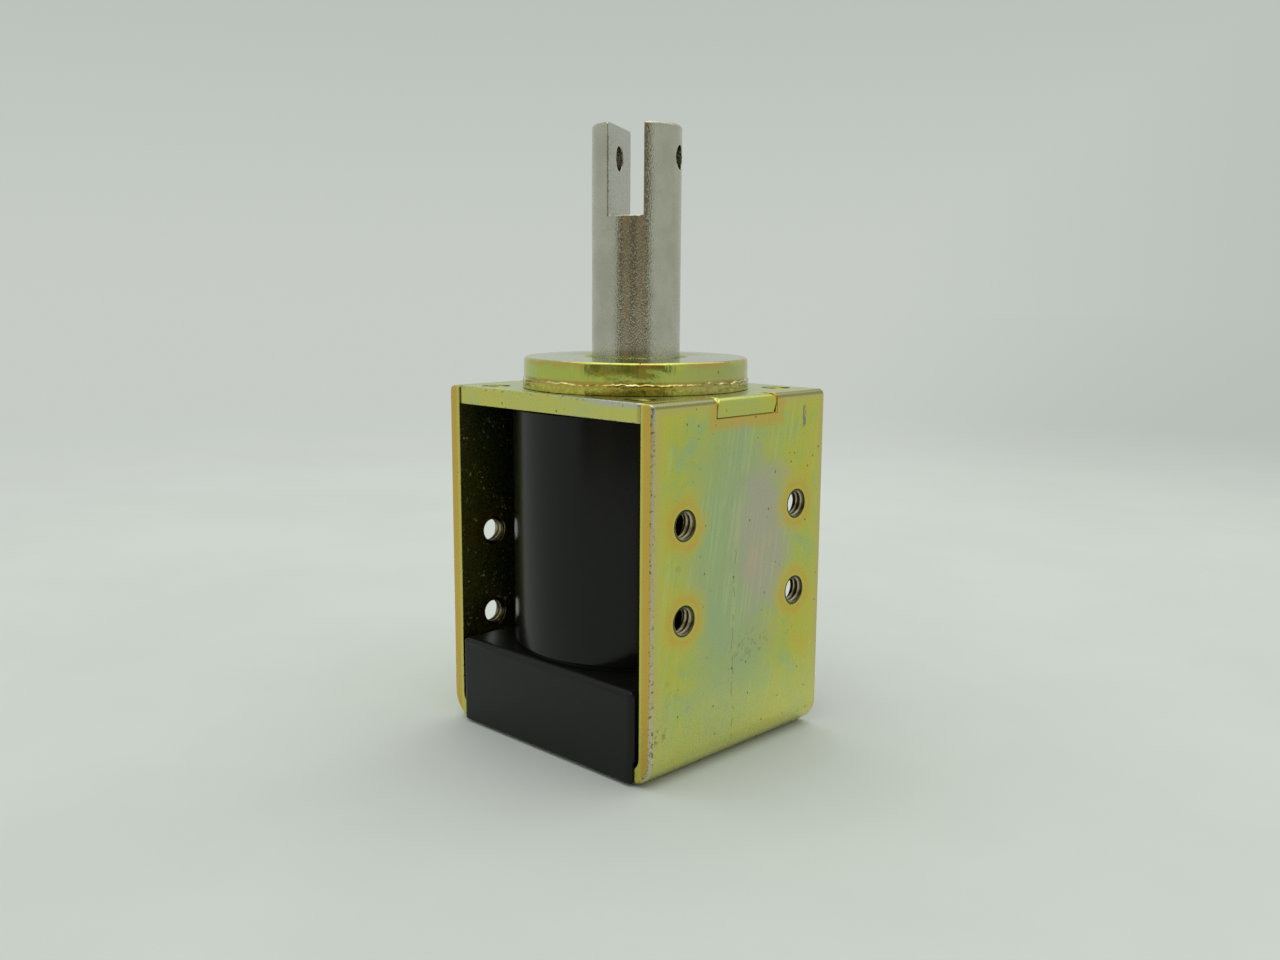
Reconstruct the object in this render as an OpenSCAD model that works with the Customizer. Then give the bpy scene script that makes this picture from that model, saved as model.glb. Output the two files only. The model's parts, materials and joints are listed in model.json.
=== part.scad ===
// Box-frame push pull solenoid, seated.
// Origin: on the plunger's axis, at the underside of the frame's web. +Z is the way the plunger pulls out.
// -Y is the open front, +Y the open back with the terminals, and the frame's legs stand at -X and +X.

/* [Coil] */
// Outer diameter of the coil's black jacket, which sets the frame's width and depth
jacket_d = 35.6; // [34:0.1:40]
// Wall of the jacket
jacket_t = 0.7; // [0.5:0.05:1]
// Height of the jacket's lower end above the base
jacket_lift = 0.5; // [0.1:0.1:1.5]
// Thickness of the insulating wrap on the winding
wrap_t = 0.3; // [0.2:0.05:0.6]
// Wall of the bobbin's tube
bobbin_t = 1; // [0.7:0.05:1.4]
// Thickness of the bobbin's flanges
flange_t = 1; // [0.8:0.1:1.5]
// Gap between the coil and each leg
coil_leg_gap = 0.65; // [0.4:0.05:2]
// Distance that the frame's front and back edges stand clear of the coil
coil_edge_gap = 0.2; // [0.1:0.05:2]

/* [Frame] */
// Height of the legs above the web's underside
leg_h = 50.5; // [44:0.1:60]
// Thickness of the frame's steel
steel_t = 2.2; // [1.6:0.1:3]
// Inner radius of the two bends
bend_in_r = 1.8; // [0.8:0.1:2.5]

/* [Mounting holes] */
// Diameter of the threaded holes, over the thread's crests
tap_d = 4.17; // [3:0.01:5]
// Distance of a leg's hole columns from the leg's edges
leg_hole_inset = 6.2; // [5:0.1:7]
// Radius that the punch rolled off the upper edge of each leg's outer face
leg_roll_r = 0.9; // [0.3:0.1:1.4]
// Distance between a leg's hole rows
hole_dz = 12.7; // [8:0.1:16]
// Height of the middle of the right leg's holes
right_hole_z = 28.1; // [24:0.05:32]
// Height of the middle of the left leg's holes
left_hole_z = 21.75; // [18:0.05:30]

/* [Top plate] */
// Thickness of the top plate
plate_t = 2.6; // [2:0.1:4]
// Width of the tab that is staked into each leg
tab_w = 12.4; // [8:0.1:18]
// Distance of the tabs' middle behind the middle of the legs
tab_shift = 0.5; // [0:0.1:1]
// Radius that the staking leaves on a tab's upper edge
stake_r = 0.9; // [0.4:0.1:1.5]
// Radius of a tab's two upper corners
tab_corner_r = 1.2; // [0.6:0.1:1.8]
// Radius of the plate's vertical corners
plate_corner_r = 0.9; // [0.4:0.1:2]
// Distance of the plate's threaded holes from its edges
plate_hole_inset = 3.85; // [3.4:0.05:4]

/* [Flux disc] */
// Diameter of the disc over its rough lower band
disc_d = 32.7; // [24:0.1:33.5]
// Thickness of the disc
disc_t = 4.4; // [2.5:0.1:7]
// Diameter of the disc's hole
disc_bore_d = 14.8; // [14.6:0.1:17]
// Share of the disc's thickness that the punch sheared smooth
shear_share = 0.6; // [0.4:0.05:0.8]
// Step between the smooth band and the rough one
shear_step = 0.15; // [0.05:0.01:0.3]
// Radius of the edge that the punch rolled over
rollover_r = 0.7; // [0.3:0.1:1]

/* [Plunger] */
// Diameter of the plunger
plunger_d = 12.7; // [11:0.1:13.5]
// Length of the plunger from its nose to its tip
plunger_len = 62.35; // [56:0.05:75]
// Width of the clevis slot
slot_w = 5.05; // [3:0.05:6]
// Depth of the clevis slot
slot_depth = 12.6; // [9:0.1:16]
// Diameter of the hole for the link's pin
pin_d = 3.4; // [2.5:0.1:4.5]
// Distance of the pin's axis from the plunger's tip
pin_drop = 4.5; // [3:0.1:6]
// Angle that the clevis is turned to
clevis_turn = 29; // [0:1:90]
// Chamfer at the plunger's two ends
plunger_chamfer = 0.35; // [0.2:0.05:0.8]
// Distance that the plunger travels
stroke = 25.4; // [20:0.1:27]
// Length of the plunger that is still inside the disc and tube at the end of its travel
hold_len = 4.64; // [3:0.02:8]

/* [Pole piece] */
// Diameter of the pole piece's shoulder on the web
shoulder_d = 16; // [15.6:0.1:17]
// Height of the shoulder
shoulder_h = 4; // [3:0.1:6]
// Diameter of the tail that is riveted into the web
tail_d = 8; // [5:0.1:10]
// Depth of the countersink that the tail is spread into
rivet_flare = 0.6; // [0.3:0.1:1]

/* [Nose] */
// Thickness of the brass washer on the plunger's nose
washer_t = 0.8; // [0.5:0.05:1.5]
// Diameter of the washer
washer_d = 12.2; // [10.5:0.1:12.4]
// Diameter of the rivet's shoulder inside the washer
rivet_shoulder_d = 5; // [4:0.1:6]
// Diameter of the rivet's head
rivet_head_d = 7.4; // [6.5:0.1:8]
// Height of the rivet's head
rivet_head_h = 0.8; // [0.5:0.1:1.2]
// Diameter of the rivet's shank
rivet_shank_d = 3; // [2:0.1:3.5]
// Length of the rivet's shank
rivet_shank_len = 6; // [4:0.5:10]

/* [Guide tube] */
// Wall of the brass guide tube
tube_t = 0.5; // [0.4:0.05:0.6]
// Distance of the guide tube's end below the disc's upper face
tube_drop = 0.9; // [0.3:0.1:2]

/* [Spring washer] */
// Height of the dished spring washer over the bobbin
spring_h = 0.7; // [0.6:0.05:1.2]
// Thickness of the spring washer's steel
spring_t = 0.4; // [0.3:0.05:0.5]
// Inner diameter of the spring washer
spring_in_d = 19; // [18:0.1:22]
// Outer diameter of the spring washer
spring_out_d = 30; // [26:0.1:33]

/* [Terminal base] */
// Height of the base's upper face above the web's underside
base_top_z = 13; // [11:0.1:15]
// Gap between the base and each leg
base_side_gap = 0.55; // [0.2:0.05:1]
// Distance that the front wall stands proud of the frame
skirt_proud = 0.6; // [0.5:0.05:1.5]
// Height of the front wall's lower edge above the web's underside
skirt_lift = 0.35; // [0.2:0.05:1]
// Thickness of the base's outer walls
base_wall = 1.8; // [1.2:0.1:2.5]
// Thickness of the base's upper wall
base_roof = 1.6; // [1:0.1:2.5]
// Radius of the front wall's upper edge and of its two upright ones
skirt_edge_r = 1.1; // [0.6:0.1:1.6]
// Radius of the front wall's upper corners
skirt_corner_r = 1.3; // [1:0.1:3]
// Wall of the boss round the pole piece
boss_wall = 1.6; // [1:0.1:2]

/* [Terminals] */
// Width of a terminal blade
blade_w = 6.35; // [4.8:0.05:6.5]
// Thickness of a terminal blade
blade_t = 0.8; // [0.5:0.05:1]
// Length of a blade behind the base
blade_out = 8; // [6:0.1:10]
// Distance between the two blades
blade_pitch = 17; // [16:0.1:20]
// Height of the blades above the web's underside
blade_z = 7.6; // [6:0.1:9]
// Diameter of the hole in a blade
blade_hole_d = 1.8; // [1.2:0.1:2.5]
// Diameter of the winding's wire
wire_d = 0.5; // [0.3:0.05:0.8]
// Wall of the sleeves on the wire's two ends
sleeve_t = 0.3; // [0.2:0.05:0.4]

/* [Hidden] */
$fn = 96;
eps = 0.01;

run_gap = 0.08;      // radial, between the plunger and its guide tube
push_gap = 0.06;     // radial, between pieces that are pushed together by hand
seat_gap = 0.03;     // between a moving face and the face that it rests on
stake_gap = 0.1;     // on each side of a staked tab
clear_gap = 0.3;     // radial, where two pieces pass each other

leg_in_x = jacket_d / 2 + coil_leg_gap;
frame_w = 2 * (leg_in_x + steel_t);
frame_d = jacket_d + 2 * coil_edge_gap;
hole_dy = frame_d - 2 * leg_hole_inset;
plate_hole_dx = 2 * (leg_in_x - plate_hole_inset);
plate_hole_dy = frame_d - 2 * plate_hole_inset;
bend_out_r = bend_in_r + steel_t;
notch_w = tab_w + 2 * stake_gap;
plate_z = leg_h - plate_t;
disc_z = leg_h;
disc_top_z = disc_z + disc_t;

tube_in_d = plunger_d + 2 * run_gap;
tube_out_d = tube_in_d + 2 * tube_t;
pole_d = tube_in_d - 2 * push_gap;
shoulder_z = steel_t + shoulder_h;
bobbin_in_d = tube_out_d + 2 * push_gap;
bobbin_out_d = bobbin_in_d + 2 * bobbin_t;
plate_bore_d = tube_out_d + 2 * push_gap;
boss_in_d = max(shoulder_d, bobbin_out_d) + 2 * push_gap;

bobbin_z = base_top_z;
bobbin_top_z = plate_z - spring_h;
winding_z = bobbin_z + flange_t;
winding_top_z = bobbin_top_z - flange_t;
jacket_in_d = jacket_d - 2 * jacket_t;
wrap_out_d = jacket_in_d - 2 * push_gap;
wrap_in_d = wrap_out_d - 2 * wrap_t;
winding_d = wrap_in_d - 2 * push_gap;
flange_d = jacket_in_d - 2 * push_gap;

nose_z = disc_top_z - hold_len - stroke;
washer_z = nose_z - seat_gap - washer_t;
seat_z = washer_z - seat_gap;
tip_z = nose_z + plunger_len;
pin_z = tip_z - pin_drop;
washer_bore_d = rivet_shoulder_d + 2 * run_gap;
rivet_head_top_z = washer_z - seat_gap;
recess_d = rivet_head_d + 2 * clear_gap;
recess_h = rivet_head_h + 2 * clear_gap;

base_half_w = leg_in_x - base_side_gap;
base_back_y = frame_d / 2;
skirt_y = -frame_d / 2 - skirt_proud;
wall_in_y = skirt_y + base_wall;

blade_back_y = base_back_y + blade_out;
blade_x = blade_pitch / 2;
blade_in_x = blade_x - blade_w / 2;
boss_out_r = boss_in_d / 2 + boss_wall;
blade_front_y = sqrt(pow(boss_out_r, 2) - pow(blade_in_x, 2)) + clear_gap;
sleeve_d = wire_d + 2 * push_gap + 2 * sleeve_t;
lead_bore_d = sleeve_d + 2 * push_gap;
finish_r = winding_d / 2 - sleeve_d;
start_lead_pos = [-blade_x, blade_front_y + sleeve_d];
finish_lead_pos = [blade_x, sqrt(pow(finish_r, 2) - pow(blade_x, 2))];
lead_z = blade_z + blade_t;

zinc_gold = "#b3ad4f";
zinc_plate = "#b9b870";
nickel = "#b5afa2";
steel_grey = "#8e9095";
brass = "#c9a24a";
copper = "#b4683c";
black_plastic = "#1b1c1c";
jacket_black = "#141515";

// A tube on the plunger's axis, from z0 to z1
module tube_z(out_d, in_d, z0, z1) {
    translate([0, 0, z0])
        difference() {
            cylinder(d = out_d, h = z1 - z0);
            translate([0, 0, -eps])
                cylinder(d = in_d, h = z1 - z0 + 2 * eps);
        }
}

// Upright section of a U, open at the top, with two bends of radius r
module u_section(half_w, floor_z, top_z, r) {
    translate([-half_w, floor_z + r])
        square([2 * half_w, top_z - floor_z - r]);
    translate([-half_w + r, floor_z])
        square([2 * (half_w - r), r + eps]);
    for (side = [-1, 1])
        translate([side * (half_w - r), floor_z + r])
            circle(r = r);
}

// One leg's four threaded holes, with their middle at height z
module leg_holes(side, z) {
    for (row = [-1, 1], column = [-1, 1])
        translate([side * leg_in_x, column * hole_dy / 2, z + row * hole_dz / 2])
            rotate([0, side * 90, 0])
                translate([0, 0, -steel_t])
                    cylinder(d = tap_d, h = 3 * steel_t);
}

// The hole that the pole piece's tail is riveted into, grown by gap
module tail_shape(gap) {
    rotate_extrude()
        polygon([
            [0, -gap],
            [tail_d / 2 + rivet_flare + gap, -gap],
            [tail_d / 2 + rivet_flare + gap, 0],
            [tail_d / 2 + gap, rivet_flare],
            [tail_d / 2 + gap, steel_t + gap],
            [0, steel_t + gap]
        ]);
}

// Corners that the punch rolled off the upper edge of each leg's outer face
module rolled_edges(half_w, top_z, r) {
    for (side = [-1, 1])
        difference() {
            translate([side * (half_w - (r - eps) / 2), top_z - (r - eps) / 2])
                square([r + eps, r + eps], center = true);
            translate([side * (half_w - r), top_z - r])
                circle(r = r);
        }
}

module frame_bracket() {
    color(zinc_gold)
        difference() {
            rotate([90, 0, 0])
                linear_extrude(frame_d, center = true)
                    difference() {
                        u_section(frame_w / 2, 0, leg_h, bend_out_r);
                        u_section(leg_in_x, steel_t, leg_h + eps, bend_in_r);
                        rolled_edges(frame_w / 2, leg_h, leg_roll_r);
                    }
            leg_holes(1, right_hole_z);
            leg_holes(-1, left_hole_z);
            for (side = [-1, 1])
                translate([side * (leg_in_x + steel_t / 2), tab_shift, leg_h])
                    cube([2 * steel_t, notch_w, 2 * plate_t], center = true);
            tail_shape(push_gap);
        }
}

// Plan of the top plate between the legs: a rectangle with small corner radii
module plate_plan() {
    r = plate_corner_r;
    square([2 * (leg_in_x - r), frame_d], center = true);
    square([2 * leg_in_x, frame_d - 2 * r], center = true);
    for (x = [-1, 1], y = [-1, 1])
        translate([x * (leg_in_x - r), y * (frame_d / 2 - r)])
            circle(r = r);
}

// End view of the two tabs, which run through the plate as one bar
module tab_outline() {
    r = tab_corner_r;
    half = tab_w / 2;
    translate([-half, 0])
        square([tab_w, plate_t - r]);
    translate([-half + r, 0])
        square([tab_w - 2 * r, plate_t]);
    for (side = [-1, 1])
        translate([side * (half - r), plate_t - r])
            circle(r = r);
}

module top_plate() {
    color(zinc_plate)
        translate([0, 0, plate_z])
            difference() {
                union() {
                    linear_extrude(plate_t)
                        plate_plan();
                    translate([0, tab_shift, 0])
                        rotate([90, 0, 90])
                            linear_extrude(frame_w, center = true)
                                tab_outline();
                }
                rotate([90, 0, 0])
                    linear_extrude(frame_d, center = true)
                        rolled_edges(frame_w / 2, plate_t, stake_r);
                translate([0, 0, -eps]) {
                    cylinder(d = plate_bore_d, h = plate_t + 2 * eps);
                    for (x = [-1, 1], y = [-1, 1])
                        translate([x * plate_hole_dx / 2, y * plate_hole_dy / 2, 0])
                            cylinder(d = tap_d, h = plate_t + 2 * eps);
                }
            }
}

// Punched edge, from the underside up: rough band, tear line, smooth band and rolled edge
module flux_disc() {
    rough_h = disc_t * (1 - shear_share);
    smooth_r = disc_d / 2 - shear_step;
    roll_c = [smooth_r - rollover_r, disc_t - rollover_r];
    color(zinc_gold)
        translate([0, 0, disc_z])
            rotate_extrude()
                polygon(concat(
                    [
                        [disc_bore_d / 2, 0],
                        [disc_d / 2 - shear_step, 0],
                        [disc_d / 2, shear_step],
                        [disc_d / 2, rough_h - shear_step],
                        [smooth_r - shear_step, rough_h],
                        [smooth_r, rough_h + shear_step]
                    ],
                    [for (a = [0 : 15 : 90]) roll_c + rollover_r * [cos(a), sin(a)]],
                    [[disc_bore_d / 2, disc_t]]
                ));
}

// The plunger's turned blank, with the rivet's hole in its nose
module plunger_blank() {
    r = plunger_d / 2;
    hole_r = rivet_shank_d / 2 + push_gap;
    rotate_extrude()
        polygon([
            [hole_r, nose_z],
            [r - plunger_chamfer, nose_z],
            [r, nose_z + plunger_chamfer],
            [r, tip_z - plunger_chamfer],
            [r - plunger_chamfer, tip_z],
            [0, tip_z],
            [0, nose_z + rivet_shank_len + clear_gap],
            [hole_r, nose_z + rivet_shank_len + clear_gap]
        ]);
}

module plunger() {
    color(nickel)
        rotate([0, 0, clevis_turn])
            difference() {
                plunger_blank();
                translate([0, 0, tip_z])
                    cube([slot_w, 2 * plunger_d, 2 * slot_depth], center = true);
                translate([0, 0, pin_z])
                    rotate([0, 90, 0])
                        cylinder(d = pin_d, h = 2 * plunger_d, center = true);
            }
}

module nose_washer() {
    color(brass)
        tube_z(washer_d, washer_bore_d, washer_z, washer_z + washer_t);
}

// Shouldered rivet: its shank grips the plunger, and the washer turns on its shoulder
module nose_rivet() {
    color(steel_grey)
        rotate_extrude()
            polygon([
                [0, rivet_head_top_z - rivet_head_h],
                [rivet_head_d / 2, rivet_head_top_z - rivet_head_h],
                [rivet_head_d / 2, rivet_head_top_z],
                [rivet_shoulder_d / 2, rivet_head_top_z],
                [rivet_shoulder_d / 2, nose_z],
                [rivet_shank_d / 2, nose_z],
                [rivet_shank_d / 2, nose_z + rivet_shank_len],
                [0, nose_z + rivet_shank_len]
            ]);
}

module pole_piece() {
    color(steel_grey)
        difference() {
            union() {
                tail_shape(0);
                translate([0, 0, steel_t])
                    cylinder(d = shoulder_d, h = shoulder_h);
                translate([0, 0, shoulder_z - eps])
                    cylinder(d = pole_d, h = seat_z - shoulder_z + eps);
            }
            translate([0, 0, seat_z - recess_h])
                cylinder(d = recess_d, h = 2 * recess_h);
        }
}

module guide_tube() {
    color(brass)
        tube_z(tube_out_d, tube_in_d, shoulder_z, disc_top_z - tube_drop);
}

module bobbin() {
    color(black_plastic)
        difference() {
            union() {
                translate([0, 0, shoulder_z + seat_gap])
                    cylinder(d = bobbin_out_d, h = bobbin_top_z - shoulder_z - seat_gap);
                translate([0, 0, bobbin_z])
                    cylinder(d = flange_d, h = flange_t);
                translate([0, 0, winding_top_z])
                    cylinder(d = flange_d, h = flange_t);
            }
            translate([0, 0, shoulder_z - eps])
                cylinder(d = bobbin_in_d, h = leg_h);
            for (pos = [start_lead_pos, finish_lead_pos])
                translate([pos.x, pos.y, bobbin_z - eps])
                    cylinder(d = lead_bore_d, h = flange_t + 2 * eps);
        }
}

module winding() {
    color(copper)
        tube_z(winding_d, bobbin_out_d + 2 * push_gap, winding_z, winding_top_z);
}

module winding_wrap() {
    color("#c8b060")
        tube_z(wrap_out_d, wrap_in_d, winding_z, winding_top_z);
}

module coil_jacket() {
    color(jacket_black)
        tube_z(jacket_d, jacket_in_d, bobbin_z + jacket_lift, bobbin_top_z);
}

// Dished ring that holds the bobbin down, from the bobbin's flange to the plate
module spring_washer() {
    color(steel_grey)
        translate([0, 0, bobbin_top_z])
            rotate_extrude()
                polygon([
                    [spring_out_d / 2, 0],
                    [spring_out_d / 2, spring_t],
                    [spring_in_d / 2, spring_h],
                    [spring_in_d / 2, spring_h - spring_t]
                ]);
}

// Section of the base across the legs: front wall with its lip over the web's edge, roof and back wall
module base_section() {
    r = skirt_edge_r;
    translate([skirt_y, skirt_lift])
        square([skirt_proud - push_gap, steel_t]);
    difference() {
        union() {
            translate([skirt_y, steel_t])
                square([base_back_y - skirt_y, base_top_z - steel_t - r]);
            translate([skirt_y + r, steel_t])
                square([base_back_y - skirt_y - r, base_top_z - steel_t]);
            translate([skirt_y + r, base_top_z - r])
                circle(r = r);
        }
        translate([wall_in_y, steel_t - eps])
            square([base_back_y - base_wall - wall_in_y, base_top_z - base_roof - steel_t]);
    }
}

// Front view of the base, which rounds its two upper corners
module base_outline() {
    r = skirt_corner_r;
    translate([-base_half_w, 0])
        square([2 * base_half_w, base_top_z - r]);
    translate([-base_half_w + r, 0])
        square([2 * (base_half_w - r), base_top_z]);
    for (side = [-1, 1])
        translate([side * (base_half_w - r), base_top_z - r])
            circle(r = r);
}

// Plan of the base, which rounds the front wall's two upright edges
module base_plan() {
    r = skirt_edge_r;
    translate([-base_half_w, skirt_y + r])
        square([2 * base_half_w, base_back_y - skirt_y - r]);
    translate([-base_half_w + r, skirt_y])
        square([2 * (base_half_w - r), 2 * r]);
    for (side = [-1, 1])
        translate([side * (base_half_w - r), skirt_y + r])
            circle(r = r);
}

// Room behind the lip for the bracket's two bends
module bend_room() {
    r = bend_in_r;
    lip_back_y = skirt_y + skirt_proud - push_gap;
    translate([0, base_back_y + eps, 0])
        rotate([90, 0, 0])
            linear_extrude(base_back_y + eps - lip_back_y)
                for (side = [-1, 1])
                    difference() {
                        translate([side * (base_half_w - (r - eps) / 2), steel_t + (r - eps) / 2])
                            square([r + eps, r + eps], center = true);
                        translate([side * (base_half_w - r), steel_t + r])
                            circle(r = r);
                    }
}

// Solid walls of the base before its holes are made
module base_walls() {
    rotate([90, 0, 90])
        linear_extrude(2 * base_half_w, center = true)
            base_section();
    for (side = [-1, 1])
        translate([side * (base_half_w - base_wall / 2), (wall_in_y + base_back_y) / 2, 0])
            translate([0, 0, (steel_t + base_top_z) / 2])
                cube([base_wall, base_back_y - wall_in_y, base_top_z - steel_t], center = true);
    translate([0, 0, steel_t])
        cylinder(r = boss_out_r, h = base_top_z - steel_t);
}

module terminal_base() {
    color(black_plastic)
        difference() {
            intersection() {
                base_walls();
                rotate([90, 0, 0])
                    linear_extrude(2 * frame_d, center = true)
                        base_outline();
                linear_extrude(base_top_z)
                    base_plan();
            }
            bend_room();
            cylinder(d = boss_in_d, h = 2 * base_top_z);
            for (side = [-1, 1])
                translate([side * blade_x, base_back_y, blade_z + blade_t / 2])
                    cube([blade_w + 2 * push_gap, 3 * base_wall, blade_t + 2 * push_gap], center = true);
            for (pos = [start_lead_pos, finish_lead_pos])
                translate([pos.x, pos.y, base_top_z - base_roof - eps])
                    cylinder(d = lead_bore_d, h = base_roof + 2 * eps);
        }
}

// Flat blade with a tapered tip, from inside the base to behind it
module terminal(side) {
    tip = blade_w / 4;
    color(brass)
        translate([side * blade_x, 0, blade_z])
            difference() {
                linear_extrude(blade_t)
                    polygon([
                        [-blade_w / 2, blade_front_y],
                        [blade_w / 2, blade_front_y],
                        [blade_w / 2, blade_back_y - tip],
                        [blade_w / 2 - tip / 2, blade_back_y],
                        [-blade_w / 2 + tip / 2, blade_back_y],
                        [-blade_w / 2, blade_back_y - tip]
                    ]);
                translate([0, blade_back_y - blade_out / 2, -eps])
                    cylinder(d = blade_hole_d, h = blade_t + 2 * eps);
            }
}

module terminal_left() {
    terminal(-1);
}

module terminal_right() {
    terminal(1);
}

// One bare end of the winding's wire, straight down to its blade
module lead(pos) {
    color(copper)
        translate([pos.x, pos.y, lead_z])
            cylinder(d = wire_d, h = winding_z - lead_z);
}

module sleeve(pos) {
    color("#e6e2d0")
        translate([pos.x, pos.y, lead_z + clear_gap])
            difference() {
                cylinder(d = sleeve_d, h = winding_z - lead_z - clear_gap);
                translate([0, 0, -eps])
                    cylinder(d = wire_d + 2 * push_gap, h = winding_z - lead_z);
            }
}

module start_lead() {
    lead(start_lead_pos);
}

module finish_lead() {
    lead(finish_lead_pos);
}

module start_sleeve() {
    sleeve(start_lead_pos);
}

module finish_sleeve() {
    sleeve(finish_lead_pos);
}

frame_bracket();
top_plate();
flux_disc();
plunger();
nose_washer();
nose_rivet();
pole_piece();
guide_tube();
bobbin();
winding();
winding_wrap();
coil_jacket();
spring_washer();
terminal_base();
terminal_left();
terminal_right();
start_lead();
finish_lead();
start_sleeve();
finish_sleeve();
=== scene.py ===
"""Looks of the box-frame solenoid: plated steel, nickel plunger, black coil and base, on a pale floor."""

import json
import math

import bmesh
import bpy
from mathutils import Matrix, Vector, noise


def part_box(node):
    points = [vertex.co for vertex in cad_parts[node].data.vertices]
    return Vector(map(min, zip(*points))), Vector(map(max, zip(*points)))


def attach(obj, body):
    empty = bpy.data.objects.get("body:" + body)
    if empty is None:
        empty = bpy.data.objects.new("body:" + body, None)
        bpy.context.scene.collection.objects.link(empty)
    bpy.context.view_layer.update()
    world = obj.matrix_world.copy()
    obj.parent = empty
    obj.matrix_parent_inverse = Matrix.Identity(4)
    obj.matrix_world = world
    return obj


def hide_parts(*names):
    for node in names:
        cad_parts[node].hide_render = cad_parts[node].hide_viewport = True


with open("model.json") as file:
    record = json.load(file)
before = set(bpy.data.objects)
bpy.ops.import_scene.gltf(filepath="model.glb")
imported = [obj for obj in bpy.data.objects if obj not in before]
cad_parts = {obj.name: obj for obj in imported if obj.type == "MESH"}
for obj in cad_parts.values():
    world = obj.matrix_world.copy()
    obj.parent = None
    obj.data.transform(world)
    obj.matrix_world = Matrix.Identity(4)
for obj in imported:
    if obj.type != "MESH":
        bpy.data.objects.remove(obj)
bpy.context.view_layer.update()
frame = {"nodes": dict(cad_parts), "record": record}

MM = 0.001
MOUNTS = {mount["name"]: mount for mount in frame["record"]["mounts"]}
CASE, ROD = "case", "rod"

# Boxes of the main pieces
FRAME_LO, FRAME_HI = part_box("frame_bracket")
PLATE_LO, PLATE_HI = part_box("top_plate")
DISC_LO, DISC_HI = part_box("flux_disc")
JACKET_LO, JACKET_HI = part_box("coil_jacket")
ROD_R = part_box("plunger")[1].x

# The threaded holes: radius, half of each spacing, and the height of the middle of each leg's four
HOLE_R = MOUNTS["right_leg_holes"]["dims"]["hole_r_mm"] * MM
HOLE_Y = MOUNTS["right_leg_holes"]["dims"]["spacing_x_mm"] * MM / 2
HOLE_Z = MOUNTS["right_leg_holes"]["dims"]["spacing_y_mm"] * MM / 2
PLATE_HOLE_X = MOUNTS["top_plate_holes"]["dims"]["spacing_x_mm"] * MM / 2
PLATE_HOLE_Y = MOUNTS["top_plate_holes"]["dims"]["spacing_y_mm"] * MM / 2
RIGHT_Z = MOUNTS["right_leg_holes"]["pos_m"][2]
LEFT_Z = MOUNTS["left_leg_holes"]["pos_m"][2]

STEEL_T = 2.2 * MM
LEG_IN_X = FRAME_HI.x - STEEL_T
BLADE_X = (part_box("terminal_right")[0].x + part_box("terminal_right")[1].x) / 2
PIN_Z = MOUNTS["clevis_pin_hole"]["pos_m"][2]
PIN_R = MOUNTS["clevis_pin_hole"]["dims"]["r_mm"] * MM

# How far the edges of each piece are rounded
FRAME_ROLL = 0.5 * MM
PLATE_ROLL = 0.4 * MM
DISC_ROLL = 0.5 * MM
ROD_EDGE = 0.22 * MM
BASE_EDGE = 0.2 * MM
BLADE_EDGE = 0.08 * MM

# The disc: the share of its edge, from below, that tore, how far the rest of it stands in, and the bore
TEAR = 0.36
SHEAR_STEP = 0.22 * MM
DISC_BORE_R = 7.4 * MM

# The jacket's skin: wall, rounding, and the gap that it leaves under the plate
JACKET_WALL = 0.7 * MM
JACKET_EDGE = 0.3 * MM
JACKET_GAP = 0.12 * MM


# ---------------------------------------------------------------- meshes

# In degrees: faces closer than the first are one face, and edges sharper than the second are rounded
FLAT_ANGLE = 0.6
SHARP_ANGLE = 38


def link(name, mesh, body):
    """A new object of this mesh that rides on a body."""
    obj = bpy.data.objects.new(name, mesh)
    bpy.context.scene.collection.objects.link(obj)
    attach(obj, body)
    return obj


def mesh_of(name, bm, smooth_angle=35):
    """The bmesh, which is freed, as a shaded mesh whose faces all look outwards."""
    bmesh.ops.recalc_face_normals(bm, faces=bm.faces)
    mesh = bpy.data.meshes.new(name)
    bm.to_mesh(mesh)
    bm.free()
    shade(mesh, smooth_angle)
    return mesh


def shade(mesh, smooth_angle):
    """Smooth shading, except at edges sharper than an angle in degrees."""
    mesh.shade_smooth()
    mesh.set_sharp_from_angle(angle=math.radians(smooth_angle))


def bake(obj):
    """Works an object's modifiers into its mesh."""
    graph = bpy.context.evaluated_depsgraph_get()
    mesh = bpy.data.meshes.new_from_object(obj.evaluated_get(graph))
    obj.modifiers.clear()
    obj.data = mesh


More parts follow.
